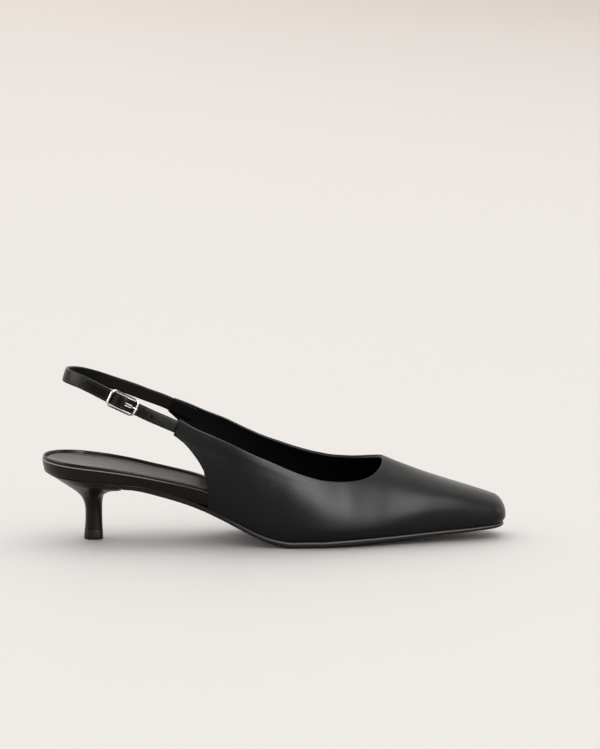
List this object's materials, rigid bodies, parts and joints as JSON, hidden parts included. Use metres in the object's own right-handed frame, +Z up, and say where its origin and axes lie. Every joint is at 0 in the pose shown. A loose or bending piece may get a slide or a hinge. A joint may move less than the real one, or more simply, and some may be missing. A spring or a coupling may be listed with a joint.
{
  "type": "slingback pump",
  "caption": "Right slingback pump with a narrow squared toe, hollow low-cut vamp, arched footbed, slim kitten heel and a heel strap closed by a small pin buckle.",
  "frame": {"origin": "middle of the bounding box in plan, on the floor", "axes": "+X to the toe, +Y to the inner side of the foot, +Z up; the buckle is on the outer side at -Y"},
  "size_m": [0.2606, 0.0749, 0.0961],
  "materials": {
    "satin": "satin",
    "sole": "smooth, waxed",
    "wrap": "smooth",
    "sock": "soft sheen",
    "heel_cover": "smooth",
    "top_piece": "matt",
    "metal": "polished"
  },
  "bodies": {
    "root": {"upper": "satin", "outsole": "sole", "footbed": "wrap", "sock": "sock", "heel": "heel_cover", "top_piece": "top_piece", "strap_back": "satin", "strap_front": "satin", "buckle_frame": "metal", "buckle_bar": "metal", "buckle_prong": "metal"}
  },
  "joints": []
}
